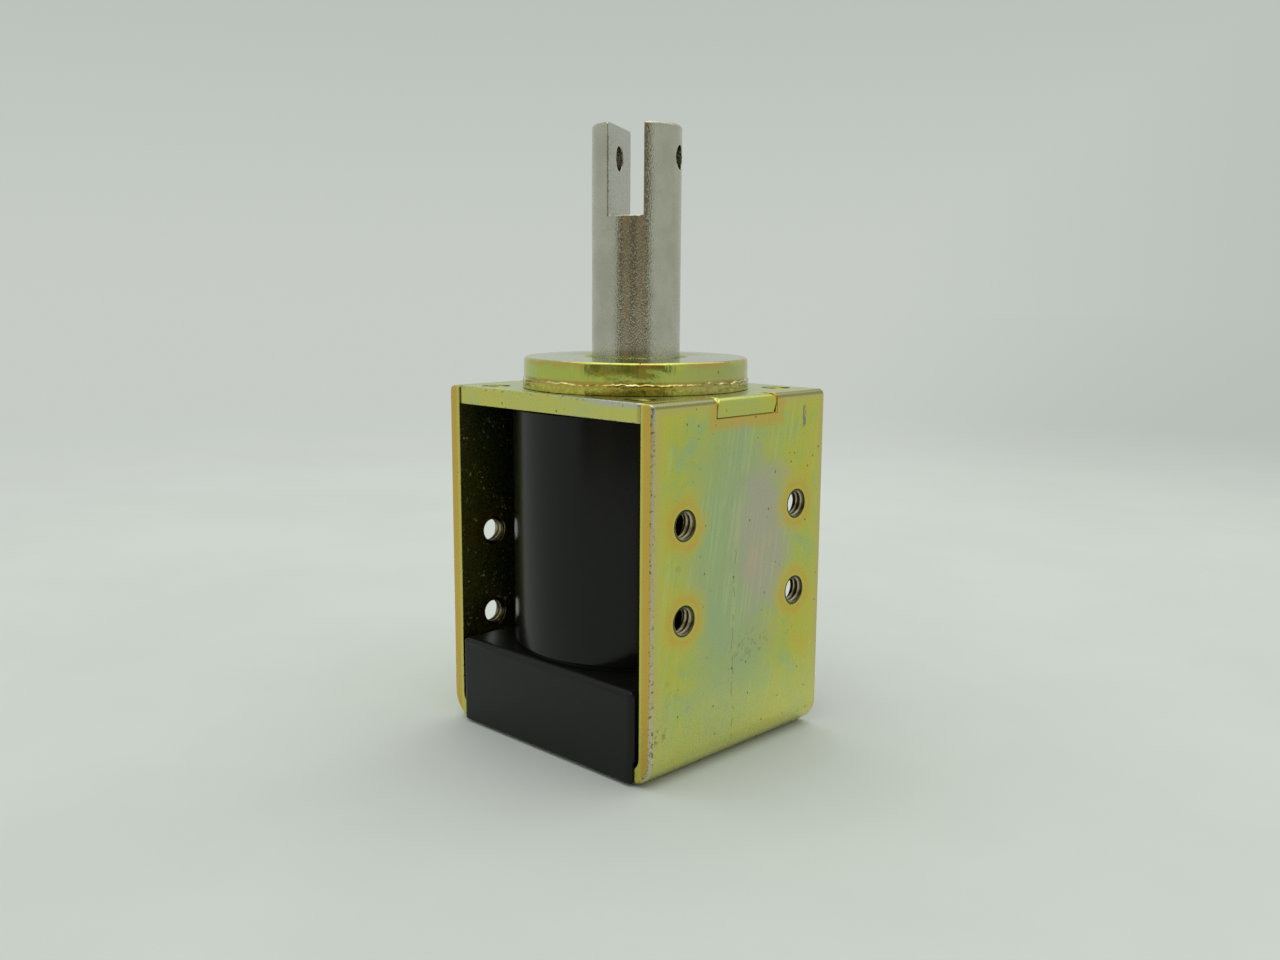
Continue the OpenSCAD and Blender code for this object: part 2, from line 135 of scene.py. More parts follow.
def edge_rounded(node, body, width, cuts, share=None, reshape=None, segments=3):
    """A copy of a CAD node with its sharp edges rounded, which stands for the node.

    cuts are planes, as (axis, place), through the node's holes, which keep every face free of inner rims.
    share(middle, normals) gives each sharp edge its part of the width.
    reshape(bmesh) moves corners before the edges are rounded.
    """
    bm = bmesh.new()
    bm.from_mesh(frame["nodes"][node].data)
    bmesh.ops.remove_doubles(bm, verts=bm.verts, dist=1e-6)
    for axis, place in cuts:
        normal = Vector([letter == axis for letter in "XYZ"])
        everything = bm.verts[:] + bm.edges[:] + bm.faces[:]
        cut = bmesh.ops.bisect_plane(bm, geom=everything, dist=1e-7, plane_co=normal * place, plane_no=normal)
        for item in cut["geom_cut"]:
            if isinstance(item, bmesh.types.BMEdge):
                item.seam = True
    bmesh.ops.dissolve_limit(
        bm, angle_limit=math.radians(FLAT_ANGLE), use_dissolve_boundaries=False,
        verts=bm.verts, edges=bm.edges, delimit={"NORMAL", "SEAM"})
    if reshape:
        reshape(bm)
    bm.normal_update()
    weight = bm.edges.layers.float.new("bevel_weight_edge")
    for edge in bm.edges:
        if edge.is_manifold and edge.is_convex and edge.calc_face_angle() > math.radians(SHARP_ANGLE):
            middle = (edge.verts[0].co + edge.verts[1].co) / 2
            edge[weight] = share(middle, [face.normal for face in edge.link_faces]) if share else 1.0
    obj = link(node + "_skin", mesh_of(node + "_skin", bm), body)
    bevel = obj.modifiers.new("edges", "BEVEL")
    bevel.width = width
    bevel.segments = segments
    bevel.limit_method = "WEIGHT"
    bevel.use_clamp_overlap = False
    bevel.miter_outer = "MITER_ARC"
    obj.modifiers.new("normals", "WEIGHTED_NORMAL").keep_sharp = True
    bake(obj)
    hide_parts(node)
    return obj


def slant_tab(bm):
    """The right tab's far side leans away from its notch, as the shear left it."""
    for vert in bm.verts:
        low = vert.co.z < PLATE_LO.z + 0.1 * MM
        if low and vert.co.x > LEG_IN_X + 0.1 * MM and vert.co.y > 5 * MM:
            vert.co.y -= 0.55 * MM


def frame_rollover(middle, normals):
    """The punch rolled the bracket's outer edges over, and left the inner ones and the holes sharper."""
    side = math.copysign(1, middle.x)
    hole_z = RIGHT_Z if side > 0 else LEFT_Z
    from_hole = math.hypot(abs(middle.y) - HOLE_Y, abs(middle.z - hole_z) - HOLE_Z)
    if from_hole < 1.1 * HOLE_R or math.hypot(middle.x, middle.y) < 6 * MM:
        return 0.25
    on_top = middle.z > FRAME_HI.z - 0.01 * MM and max(abs(n.y) for n in normals) > 0.9
    outer = max(side * n.x for n in normals) > 0.05 or min(n.z for n in normals) < -0.05
    if not (outer or on_top):
        return 0.25
    return 1.0 if abs(middle.y) > 0.6 * FRAME_HI.y else 0.4


def plate_rollover(middle, normals):
    """The plate's upper edges between the legs are rolled over a little."""
    from_hole = math.hypot(abs(middle.x) - PLATE_HOLE_X, abs(middle.y) - PLATE_HOLE_Y)
    end = abs(middle.x) > FRAME_HI.x - 0.01 * MM
    small = from_hole < 1.1 * HOLE_R or (abs(middle.x) > LEG_IN_X + 0.01 * MM and not end)
    return 0.4 if small or max(n.z for n in normals) < 0.9 else 1.0


def rod_edges(middle, _normals):
    """The plunger's slot and end are rounded more than the rims of its cross hole."""
    return 0.6 if abs(middle.z - PIN_Z) < 1.1 * PIN_R else 1.0


def lathe(name, profile, steps, smooth_angle=35, shift=None):
    """A ring turned from a closed profile of (radius, height) points, which shift(angle, r, z) may move."""
    bm = bmesh.new()
    rings = []
    for i in range(steps):
        a = 2 * math.pi * i / steps
        ring = []
        for r, z in profile:
            if shift:
                r, z = shift(a, r, z)
            ring.append(bm.verts.new((r * math.cos(a), r * math.sin(a), z)))
        rings.append(ring)
    count = len(profile)
    for i in range(steps):
        near, far = rings[i], rings[(i + 1) % steps]
        for k in range(count):
            n = (k + 1) % count
            bm.faces.new((near[k], far[k], far[n], near[n]))
    return mesh_of(name, bm, smooth_angle)


def arc(centre, radius, start, end, steps=6):
    """Points of an arc in a profile, angles in degrees."""
    points = []
    for i in range(steps + 1):
        a = math.radians(start + (end - start) * i / steps)
        points.append((centre[0] + radius * math.cos(a), centre[1] + radius * math.sin(a)))
    return points


# ---------------------------------------------------------------- node helpers

class Graph:
    """Short calls that add shader nodes to one material."""

    def __init__(self, name):
        self.material = bpy.data.materials.new(name)
        self.material.use_nodes = True
        self.tree = self.material.node_tree
        self.tree.nodes.clear()
        self.output = self.tree.nodes.new("ShaderNodeOutputMaterial")

    def add(self, kind, values=None, **settings):
        """A new node; the values go to its inputs, as links or constants, and the settings to itself."""
        node = self.tree.nodes.new(kind)
        for key, value in settings.items():
            setattr(node, key, value)
        for key, value in (values or {}).items():
            socket = node.inputs[key]
            if isinstance(value, bpy.types.NodeSocket):
                self.tree.links.new(value, socket)
            else:
                socket.default_value = value
        return node

    def math(self, operation, a, b=0.0):
        return self.add("ShaderNodeMath", {0: a, 1: b}, operation=operation).outputs[0]

    def chain(self, operation, values):
        """All the values joined by one operation."""
        total = values[0]
        for value in values[1:]:
            total = self.math(operation, total, value)
        return total

    def plus(self, *values):
        return self.chain("ADD", values)

    def times(self, *values):
        return self.chain("MULTIPLY", values)

    def least(self, *values):
        return self.chain("MINIMUM", values)

    def most(self, *values):
        return self.chain("MAXIMUM", values)

    def minus(self, a, b):
        return self.math("SUBTRACT", a, b)

    def over(self, a, b):
        return self.math("DIVIDE", a, b)

    def above(self, value, limit):
        return self.math("GREATER_THAN", value, limit)

    def below(self, value, limit):
        return self.math("LESS_THAN", value, limit)

    def size(self, value):
        return self.math("ABSOLUTE", value)

    def length(self, x, y):
        return self.math("SQRT", self.plus(self.times(x, x), self.times(y, y)))

    def axes(self, vector):
        """The three parts of a vector."""
        return self.add("ShaderNodeSeparateXYZ", {0: vector}).outputs

    def scaled(self, vector, scale):
        return self.add("ShaderNodeVectorMath", {0: vector, 1: scale}, operation="MULTIPLY").outputs[0]

    def position(self):
        """The surface's place in metres, which moves with the piece."""
        return self.add("ShaderNodeTexCoord").outputs["Object"]

    def place(self):
        """The surface's place in millimetres."""
        return self.scaled(self.position(), (1 / MM,) * 3)

    def facing(self):
        """The three parts of the surface's normal."""
        return self.axes(self.add("ShaderNodeTexCoord").outputs["Normal"])

    def noise(self, vector, scale, detail=3.0, rough=0.55, distort=0.0):
        values = {
            "Vector": vector, "Scale": scale, "Detail": detail, "Roughness": rough, "Distortion": distort}
        return self.add("ShaderNodeTexNoise", values).outputs["Fac"]

    def cells(self, vector, scale):
        return self.add("ShaderNodeTexVoronoi", {"Vector": vector, "Scale": scale}).outputs["Distance"]

    def fade(self, value, low, high, to_low=0.0, to_high=1.0):
        """A smooth step from one value at low to another at high."""
        values = {"Value": value, "From Min": low, "From Max": high, "To Min": to_low, "To Max": to_high}
        return self.add("ShaderNodeMapRange", values, interpolation_type="SMOOTHSTEP").outputs[0]

    def ramp(self, value, stops):
        node = self.add("ShaderNodeValToRGB", {0: value})
        node.color_ramp.interpolation = "EASE"
        while len(node.color_ramp.elements) < len(stops):
            node.color_ramp.elements.new(0.5)
        for element, (place, colour) in zip(node.color_ramp.elements, stops):
            element.position = place
            element.color = (*colour, 1)
        return node.outputs[0]

    def mix(self, factor, a, b):
        node = self.add("ShaderNodeMix", data_type="RGBA", blend_type="MIX")
        for index, value in ((0, factor), (6, a), (7, b)):
            socket = node.inputs[index]
            if isinstance(value, bpy.types.NodeSocket):
                self.tree.links.new(value, socket)
            else:
                socket.default_value = (*value, 1) if isinstance(value, tuple) else value
        return node.outputs[2]

    def tint(self, under, amount, strength, colour):
        """The colour under, covered by another as far as the amount times the strength says."""
        return self.mix(self.times(amount, strength), under, colour)

    def bump(self, height, strength, distance):
        values = {"Height": height, "Strength": strength, "Distance": distance}
        return self.add("ShaderNodeBump", values).outputs[0]

    def stored(self, name):
        """A value that the mesh holds at each point."""
        return self.add("ShaderNodeAttribute", attribute_name=name).outputs["Fac"]

    def finish(self, values):
        """The finished material, whose shader takes these values."""
        shader = self.add("ShaderNodeBsdfPrincipled", values)
        self.tree.links.new(shader.outputs[0], self.output.inputs[0])
        return self.material


def paint(obj, material):
    """The material as the only one of a piece."""
    obj.data.materials.clear()
    obj.data.materials.append(material)


# ---------------------------------------------------------------- materials

# Colours of the chromate film, from the thickest to the thinnest
DEEP_GOLD = (0.68, 0.46, 0.09)
ORANGE = (0.70, 0.47, 0.09)
GOLD = (0.66, 0.57, 0.09)
OLIVE_GOLD = (0.66, 0.62, 0.12)
OLIVE = (0.60, 0.61, 0.10)
LIME = (0.53, 0.60, 0.13)
PALE_LIME = (0.46, 0.58, 0.21)
SEA_GREY = (0.41, 0.53, 0.29)
PINK_GREY = (0.52, 0.495, 0.37)
BLUSH = (0.64, 0.50, 0.24)

# Dirt, which also serves as painted shade in the gap at the notch, and metal that is rubbed or knocked bare
GRIME_AND_GAP_SHADE = (0.10, 0.085, 0.03)
DUST_BROWN = (0.24, 0.20, 0.08)
CRUMB = (0.50, 0.44, 0.16)
STAIN = (0.36, 0.26, 0.08)
WORN = (0.56, 0.56, 0.50)
BARE = (0.55, 0.56, 0.52)
SCUFF = (0.22, 0.24, 0.27)

# Tints of single places on the legs and the plate; the foot's gold is painted light and the lip's tone is
# painted shade
ROSE = (0.66, 0.46, 0.34)
STREAK = (0.62, 0.70, 0.28)
LIT_FOOT_GOLD = (0.76, 0.74, 0.24)
SOLE = (0.20, 0.17, 0.05)
LIP_SHADE = (0.27, 0.27, 0.14)
SHEAR_GOLD = (0.74, 0.68, 0.22)
PLATE_GREY = (0.55, 0.57, 0.40)

# Tints of the disc; the ash is painted shade on its right side
DISC_LIME = (0.46, 0.55, 0.12)
DISC_GREY = (0.56, 0.56, 0.44)
TORN_BROWN = (0.50, 0.42, 0.10)
TEAR_BROWN = (0.46, 0.31, 0.07)
RIM_BROWN = (0.60, 0.36, 0.10)
SHADED_ASH = (0.40, 0.37, 0.20)
GLINT = (1.0, 0.84, 0.42)

# Depth of the film's fine relief
FILM_RELIEF = 0.1 * MM

# Where the film thins on a leg: middle as (y, z) and radii in mm, raggedness, fade, strength and colour
LEG_CLOUDS = (
    ((-1.5, 27), (13.5, 26), 0.25, (1.05, 0.35), 0.85, SEA_GREY),
    ((4.5, 31), (8, 13), 0.35, (1.1, 0.4), 0.9, PINK_GREY),
    ((2.2, 27.5), (1.8, 2.4), 0.4, (1.1, 0.5), 0.45, ROSE),
)
# Brown stains on the right leg: middle, radii and strength
LEG_STAINS = (
    ((1.5, 15.5), (5.0, 2.8), 0.55),
    ((-16.5, 7.5), (1.6, 2.2), 0.75),
)


def patch_of(g, y, z, ripple, centre, radii, ragged, edges):
    """1 within an ellipse on a leg's face, whose ragged edge fades between two shares of its radii."""
    across = g.over(g.minus(y, centre[0]), radii[0])
    up = g.over(g.minus(z, centre[1]), radii[1])
    return g.fade(g.plus(g.length(across, up), g.times(ripple, ragged)), *edges)


def leg_clouds(g, film, place, ripple):
    """Grey and pinkish clouds, a slanted brushing, warm outer edges and a gold foot lightened with painted
    light.
    """
    x, y, z = g.axes(place)[:3]
    for centre, radii, ragged, edges, strength, colour in LEG_CLOUDS:
        film = g.tint(film, patch_of(g, y, z, ripple, centre, radii, ragged, edges), strength, colour)

    slant = g.plus(y, g.times(z, -0.16))
    lines = g.add("ShaderNodeCombineXYZ", {0: x, 1: g.times(slant, 1.6), 2: g.times(z, 0.06)}).outputs[0]
    brushed = g.fade(g.noise(lines, 1.0, 3, 0.6), 0.48, 0.70)
    brushed = g.times(brushed, g.fade(g.noise(place, 0.12, 2), 0.40, 0.55))
    film = g.tint(film, brushed, 0.45, STREAK)

    edge = g.least(g.minus(FRAME_HI.y / MM, g.size(y)), g.minus(FRAME_HI.z / MM, z), z)
    film = g.tint(film, g.fade(g.plus(edge, ripple), 4.2, 0.6), 0.6, OLIVE_GOLD)
    film = g.tint(film, g.fade(g.plus(edge, g.times(ripple, 0.6)), 1.9, 0.7), 0.45, BLUSH)
    # Painted light: a brighter gold towards the foot
    return g.tint(film, g.fade(g.plus(z, ripple), 15.0, 3.0), 0.6, LIT_FOOT_GOLD)


def leg_rims(g, film, place, ripple):
    """Gold and orange film round the holes and under the tab, and painted shade in the gap at the notch."""
    x, y, z = g.axes(place)[:3]
    middle = g.plus(LEFT_Z / MM, g.times(g.above(x, 0.0), (RIGHT_Z - LEFT_Z) / MM))
    dy = g.minus(g.size(y), HOLE_Y / MM)
    dz = g.minus(g.size(g.minus(z, middle)), HOLE_Z / MM)
    from_hole = g.length(dy, dz)
    from_notch = g.most(g.minus(g.size(g.minus(y, 0.5)), 6.3), g.minus(PLATE_LO.z / MM, z))
    film = g.tint(film, g.fade(g.plus(from_hole, ripple), 5.6, 3.2), 0.65, GOLD)
    halo = g.fade(g.plus(from_hole, g.times(ripple, 0.9)), 3.9, 2.7)
    by_tab = g.fade(g.plus(from_notch, g.times(ripple, 0.5)), 2.4, 0.6)
    film = g.tint(film, g.most(halo, by_tab), 0.75, ORANGE)
    film = g.tint(film, g.fade(from_hole, 2.75, 2.45), 0.6, OLIVE)
    # Painted shade in the gap round the notch, on the faces across the legs
    seam = g.times(g.fade(from_notch, 0.20, 0.05), g.above(g.size(g.facing()[0]), 0.6))
    return g.tint(film, seam, 0.75, GRIME_AND_GAP_SHADE)


def leg_marks(g, film, place, ripple):
    """A crooked scratch, a scuff and stains on the right leg, painted shade on the top lip and a dark front
    sole.
    """
    x, y, z = g.axes(place)[:3]
    facing = g.facing()
    right = g.above(x, 0.0)

    height = g.add("ShaderNodeCombineXYZ", {2: z}).outputs[0]
    off_line = g.minus(g.plus(y, g.times(g.noise(height, 0.22, 4, 0.6), 4.0)), 0.2)
    scratch = g.times(g.fade(g.size(off_line), 0.10, 0.03), g.fade(z, 33.0, 27.0))
    scratch = g.times(scratch, g.fade(g.noise(place, 0.9, 2), 0.42, 0.55), right)
    film = g.tint(film, scratch, 0.6, GRIME_AND_GAP_SHADE)

    scuff = patch_of(g, y, z, ripple, (13.2, 46.8), (0.45, 2.2), 0.5, (1.0, 0.6))
    scuff = g.times(scuff, right, g.fade(g.noise(place, 1.3, 4), 0.40, 0.50))
    film = g.tint(film, scuff, 0.85, SCUFF)

    # Painted shade on the rounded top lip
    slope = g.fade(g.size(g.times(facing[0], facing[2])), 0.12, 0.35)
    film = g.tint(film, g.times(slope, g.fade(g.minus(FRAME_HI.z / MM, z), 1.2, 0.8)), 0.8, LIP_SHADE)
    sole = g.times(g.fade(z, 0.9, 0.5), g.fade(y, 1.5 - FRAME_HI.y / MM, 1.0 - FRAME_HI.y / MM))
    film = g.tint(film, sole, 0.85, SOLE)

    specks = g.fade(g.noise(place, 1.2, 5, 0.7), 0.53, 0.60)
    for centre, radii, strength in LEG_STAINS:
        stain = g.times(patch_of(g, y, z, ripple, centre, radii, 0.4, (1.1, 0.5)), specks, right)
        film = g.tint(film, stain, strength, STAIN)
    return film


def leg_film(g, film, place, ripple):
    """All that the plating bath and the years left on the bracket, with painted light at the foot and painted
    shade on the top lip and in the notch's gap.
    """
    film = leg_clouds(g, film, place, ripple)
    film = leg_rims(g, film, place, ripple)

    x, y, z = g.axes(place)[:3]
    facing = g.facing()
    depth = g.minus(FRAME_HI.x / MM, g.size(x))
    torn = g.fade(g.plus(depth, g.times(ripple, 0.15)), 1.9, 1.5)
    film = g.mix(g.above(g.size(facing[1]), 0.75), film, g.mix(torn, OLIVE_GOLD, DEEP_GOLD))

    film = leg_marks(g, film, place, ripple)
    corner = g.size(g.times(facing[0], facing[1]))
    front = g.below(y, 1.0 - FRAME_HI.y / MM)
    by_top = g.fade(g.minus(FRAME_HI.z / MM, z), 3.0, 0.5, 0.0, 0.2)
    by_foot = g.times(g.fade(z, 15.0, 3.0), 0.12)
    bias = g.plus(g.fade(x, -15.0, 15.0, -0.06, 0.03), by_top, by_foot)
    return rubbed(g, film, place, g.times(corner, front), bias)


def plate_film(g, film, place, ripple):
    """The plate's film: grey on top, gold on its sheared edge, and bare at the front right corner."""
    x, y, z = g.axes(place)[:3]
    facing = g.facing()
    corner = g.size(g.times(facing[1], facing[2]))
    front = g.below(y, PLATE_LO.y / MM + 0.6)
    film = g.tint(film, g.above(g.size(facing[1]), 0.75), 0.5, SHEAR_GOLD)
    film = g.tint(film, g.fade(facing[2], 0.8, 0.95), 0.4, PLATE_GREY)
    film = g.tint(film, g.above(g.size(x), LEG_IN_X / MM), 0.5, OLIVE_GOLD)
    film = rubbed(g, film, place, g.times(corner, front), g.fade(x, -2.0, 14.0, -0.06, 0.10))
    from_end = g.times(g.minus(LEG_IN_X / MM, x), 2.5)
    from_corner = g.least(g.minus(PLATE_HI.z / MM, z), from_end)
    bare = g.fade(g.plus(from_corner, g.times(ripple, 0.9)), 0.9, 0.4)
    return g.tint(film, g.times(bare, front, g.fade(x, 5.0, 12.0)), 0.7, BARE)


def rubbed(g, film, place, corner, bias):
    """The film with a line of pitted grey metal where an edge is rubbed; corner is 0.5 in its middle."""
    wander = g.times(g.minus(g.noise(place, 0.9, 6, 0.7), 0.5), 0.3)
    film = g.tint(film, g.fade(g.plus(corner, wander, bias), 0.42, 0.47), 0.9, WORN)
    pitting = g.fade(g.plus(g.noise(place, 1.9, 5, 0.75), g.times(bias, 0.25)), 0.57, 0.61)
    return g.tint(film, g.times(pitting, g.above(corner, 0.10)), 0.75, GRIME_AND_GAP_SHADE)


def inner_crumbs(g, place):
    """Crumbs of dull dirt on the inner faces of the legs."""
    inside = g.below(g.size(g.axes(place)[0]), FRAME_HI.x / MM - 1.5)
    crumbs = g.fade(g.noise(place, 2.2, 3, 0.6), 0.62, 0.72)
    return g.times(inside, g.times(crumbs, g.fade(g.noise(place, 0.25, 3), 0.42, 0.62)))


def chromate(name, kind):
    """Yellow zinc chromate, a metallic film that drifts from gold through lime to a bluish grey."""
    g = Graph(name)
    place = g.place()
    broad = g.noise(place, 0.06, 3, 0.6, 0.7)
    patch = g.noise(place, 0.24, 6, 0.65, 1.0)
    fine = g.noise(place, 1.8, 4, 0.6)
    thinness = g.plus(g.times(broad, 0.5), g.times(patch, 0.46), g.times(fine, 0.04))
    film = g.ramp(thinness, [(0.36, GOLD), (0.44, OLIVE), (0.50, LIME), (0.56, PALE_LIME), (0.64, SEA_GREY)])
    grime = g.fade(g.noise(place, 0.35, 8, 0.75, 2.0), 0.58, 0.70)
    film = g.tint(film, grime, 0.35, DUST_BROWN)
    film_of = {"legs": leg_film, "plate": plate_film, "disc": disc_film}
    film = film_of[kind](g, film, place, g.times(g.minus(patch, 0.5), 3.4))
    spots = g.cells(g.scaled(place, (1.0, 1.0, 0.7)), 0.8)
    specks = g.times(g.fade(spots, 0.13, 0.08), g.fade(g.noise(place, 0.3, 2), 0.50, 0.56))
    film = g.tint(film, specks, 0.8, GRIME_AND_GAP_SHADE)
    if kind == "disc":
        upright = g.noise(g.scaled(place, (1.8, 1.8, 0.2)), 1.0, 3, 0.6)
        relief = g.bump(g.plus(g.noise(place, 0.45, 4, 0.55), g.times(upright, 0.5)), 0.7, FILM_RELIEF)
        rough = g.fade(fine, 0.3, 0.7, 0.13, 0.20)
    else:
        relief = g.bump(g.noise(place, 0.5, 3, 0.5), 0.3, FILM_RELIEF)
        rough = g.fade(fine, 0.3, 0.7, 0.26, 0.31)
    values = {"Base Color": film, "Metallic": 1.0, "Normal": relief, "Roughness": rough}
    if kind == "legs":
        crumbs = inner_crumbs(g, place)
        values["Metallic"] = g.minus(1.0, g.times(crumbs, 0.9))
        values["Base Color"] = g.mix(crumbs, film, CRUMB)
    return g.finish(values)


def disc_film(g, film, place, ripple):
    """The disc's film: pale lime, warm along the tear line and the rim, mottled below the tear, and dulled by
    painted shade towards the right.
    """
    x, y, z = g.axes(place)[:3]
    low, high = DISC_LO.z / MM, DISC_HI.z / MM
    tear = low + TEAR * (high - low - DISC_ROLL / MM)
    film = g.mix(0.55, film, DISC_LIME)
    brushed = g.fade(g.noise(g.scaled(place, (1.6, 1.6, 0.25)), 1.0, 4, 0.65), 0.45, 0.68)
    film = g.tint(film, brushed, 0.5, GOLD)
    speckle = g.fade(g.noise(place, 1.4, 5, 0.7), 0.42, 0.62)
    film = g.mix(g.fade(z, tear + 0.1, tear - 0.1), film, g.mix(speckle, TORN_BROWN, OLIVE))

    off_line = g.size(g.minus(z, tear + 0.1))
    film = g.tint(film, g.fade(g.plus(off_line, g.times(ripple, 0.15)), 0.5, 0.1), 0.8, TEAR_BROWN)
    coarse, broad = g.noise(place, 0.9, 4, 0.7), g.noise(place, 0.16, 2)
    glint = g.times(g.fade(coarse, 0.42, 0.52), g.fade(broad, 0.38, 0.56))
    film = g.tint(film, g.times(g.fade(g.stored("ledge"), 0.5, 0.9), glint), 0.9, GLINT)
    # Painted shade: a duller ash towards the picture's right
    to_right = g.plus(g.times(x, 0.72), g.times(y, 0.70), ripple)
    film = g.tint(film, g.fade(to_right, 2.0, 12.0), 0.42, SHADED_ASH)

    off_rim = g.most(g.minus(DISC_HI.x / MM, g.length(x, y)), g.minus(high, z))
    rim = g.fade(g.plus(off_rim, g.times(ripple, 0.9)), 1.1, 0.4)
    film = g.tint(film, rim, 0.5, g.mix(g.fade(g.noise(place, 0.2, 3), 0.45, 0.55), RIM_BROWN, OLIVE))
    return g.tint(film, g.fade(z, high - 0.05, high - 0.01), 0.7, DISC_GREY)


def nickel(name):
    """Satin nickel plate over a fine pitted grain, which sparkles where it mirrors the dim room."""
    g = Graph(name)
    place = g.place()
    grain = g.noise(g.scaled(place, (4.6, 4.6, 3.6)), 1.0, 1.5, 0.6)
    tone = g.mix(g.fade(g.noise(place, 0.25, 4, 0.6), 0.35, 0.65), (0.47, 0.455, 0.365), (0.53, 0.515, 0.42))
    x, y = g.axes(place)[:2]
    in_slot = g.fade(g.length(x, y), ROD_R / MM - 0.1, ROD_R / MM - 0.3)
    tone = g.tint(tone, in_slot, 0.7, (0.43, 0.42, 0.355))
    return g.finish({
        "Base Color": tone, "Metallic": 1.0,
        "Roughness": g.plus(g.fade(grain, 0.42, 0.62, 0.08, 0.24), g.fade(grain, 0.58, 0.64, 0.0, 0.14)),
        "Normal": g.bump(grain, 1.0, 0.034 * MM)})


def plain_metal(name, colour, rough):
    """Turned or drawn metal with fine lines round it."""
    g = Graph(name)
    place = g.place()
    lines = g.noise(g.scaled(place, (0.3, 0.3, 6.0)), 1.0, 3)
    dark = tuple(0.8 * c for c in colour)
    tone = g.mix(g.fade(g.noise(place, 0.4, 3), 0.35, 0.65), dark, colour)
    return g.finish({
        "Base Color": tone, "Metallic": 1.0, "Roughness": g.fade(lines, 0.3, 0.7, rough - 0.05, rough + 0.08),
        "Normal": g.bump(lines, 0.2, 0.04 * MM)})


def black_plastic(name, colour, rough, gloss=0.3, dust=0.7):
    """Black plastic with faint mould texture and a few pale specks of dust."""
    g = Graph(name)
    place = g.place()
    grain = g.noise(place, 2.5, 4, 0.6)
    motes = g.times(g.fade(g.cells(place, 1.3), 0.07, 0.03), g.fade(g.noise(place, 0.35, 2), 0.56, 0.66))
    return g.finish({
        "Base Color": g.tint(colour, motes, dust, (0.25, 0.25, 0.22)),
        "Roughness": g.fade(grain, 0.3, 0.7, rough - 0.04, rough + 0.06),
        "Specular IOR Level": gloss, "Normal": g.bump(grain, 0.12, 0.04 * MM)})


def thread_metal(name, crest, root_shade):
    """Threads with bright crests and roots darkened by painted shade."""
    g = Graph(name)
    mottle = g.times(g.minus(g.noise(g.place(), 1.6, 4), 0.5), 0.5)
    depth = g.plus(g.stored("depth"), mottle)
    # Painted shade darkens the roots, where the stored depth is low
    return g.finish({
        "Base Color": g.mix(g.fade(depth, 0.30, 0.85), root_shade, crest), "Metallic": 1.0, "Roughness": 0.3})


def film_wrap(name):
    """Amber film lapped round the winding."""
    g = Graph(name)
    laps = g.noise(g.scaled(g.place(), (0.1, 0.1, 1.2)), 1.0, 2)
    tone = g.mix(g.fade(laps, 0.4, 0.6), (0.62, 0.48, 0.18), (0.72, 0.60, 0.28))
    return g.finish({"Base Color": tone, "Roughness": 0.25})


def copper_wire(name):
    """Enamelled copper wire in level turns."""
    g = Graph(name)
    values = {"Vector": g.place(), "Scale": 0.65, "Distortion": 0.3}
    turns = g.add("ShaderNodeTexWave", values, bands_direction="Z").outputs["Fac"]
    return g.finish({
        "Base Color": g.mix(turns, (0.42, 0.16, 0.06), (0.72, 0.34, 0.16)), "Metallic": 1.0,
        "Roughness": 0.3, "Normal": g.bump(turns, 0.5, 0.2 * MM)})


def sleeving(name):
    """Pale woven sleeving on the leads."""
    g = Graph(name)
    weave = g.cells(g.place(), 5.0)
    tone = g.mix(g.fade(weave, 0.1, 0.5), (0.70, 0.68, 0.58), (0.82, 0.80, 0.72))
    return g.finish({"Base Color": tone, "Roughness": 0.8, "Normal": g.bump(weave, 0.4, 0.1 * MM)})


# ---------------------------------------------------------------- pieces

def disc_profile():
    """The punched disc's section from the bore's lower corner round, with many points up the outer edge."""
    outer = DISC_HI.x
    low, high = DISC_LO.z, DISC_HI.z
    straight = high - low - DISC_ROLL
    points = [(DISC_BORE_R, low + 0.15 * MM), (DISC_BORE_R + 0.15 * MM, low), (outer - 0.3 * MM, low)]
    for share in [0.02] + [TEAR * i / 12 for i in range(1, 12)] + [TEAR - 0.02, TEAR + 0.02]:
        points.append((outer, low + straight * share))
    for i in range(1, 13):
        points.append((outer, low + straight * (TEAR + (1 - TEAR) * i / 12)))
    points += arc((outer - DISC_ROLL, high - DISC_ROLL), DISC_ROLL, 10, 90, 7)
    points += [(DISC_BORE_R + 0.2 * MM, high), (DISC_BORE_R, high - 0.2 * MM)]
    return points


def torn_edge(angle, r, z):
    """Shapes the disc's edge: a rough torn band below a wavy line, and a smooth sheared band above it."""
    low, high = DISC_LO.z, DISC_HI.z - DISC_ROLL
    if r < DISC_HI.x - 0.8 * MM:
        return r, z
    around = Vector((math.cos(angle), math.sin(angle), 0.0))
    share = (z - low) / (high - low)
    lift = 0.07 * noise.noise(around * 3) + 0.045 * noise.noise(around * 11)
    lift += 0.03 * noise.noise(around * 30)
    reach = share / TEAR if share < TEAR else max(0.0, (1 - share) / (1 - TEAR))
    z += lift * reach * (high - low)
    spot = around * 16.35 + Vector((0, 0, z / MM))
    if share < TEAR:
        depth = 0.04 + 0.05 * noise.noise(spot * 1.3) + 0.025 * noise.noise(spot * 4.2)
        return r - max(0.0, depth) * min(1.0, (TEAR - share) / 0.06) * MM, z
    belly = 0.05 * math.sin(math.pi * min(1.0, (share - TEAR) / (1 - TEAR)))
    wave = 0.05 * noise.noise(spot * Vector((0.30, 0.30, 0.8)))
    return r - (SHEAR_STEP / MM + wave - belly) * MM, z


def make_disc():
    """The disc's skin, whose two rings of points at the step of its edge are marked as its ledge."""
    profile = disc_profile()
    mesh = lathe("flux_disc_skin", profile, 420, 50, torn_edge)
    ledge = mesh.attributes.new("ledge", "FLOAT", "POINT")
    step = [index for index, (r, _z) in enumerate(profile) if r == DISC_HI.x][12:14]
    for index, item in enumerate(ledge.data):
        item.value = float(index % len(profile) in step)
    disc = link("flux_disc_skin", mesh, CASE)
    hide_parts("flux_disc")
    return disc


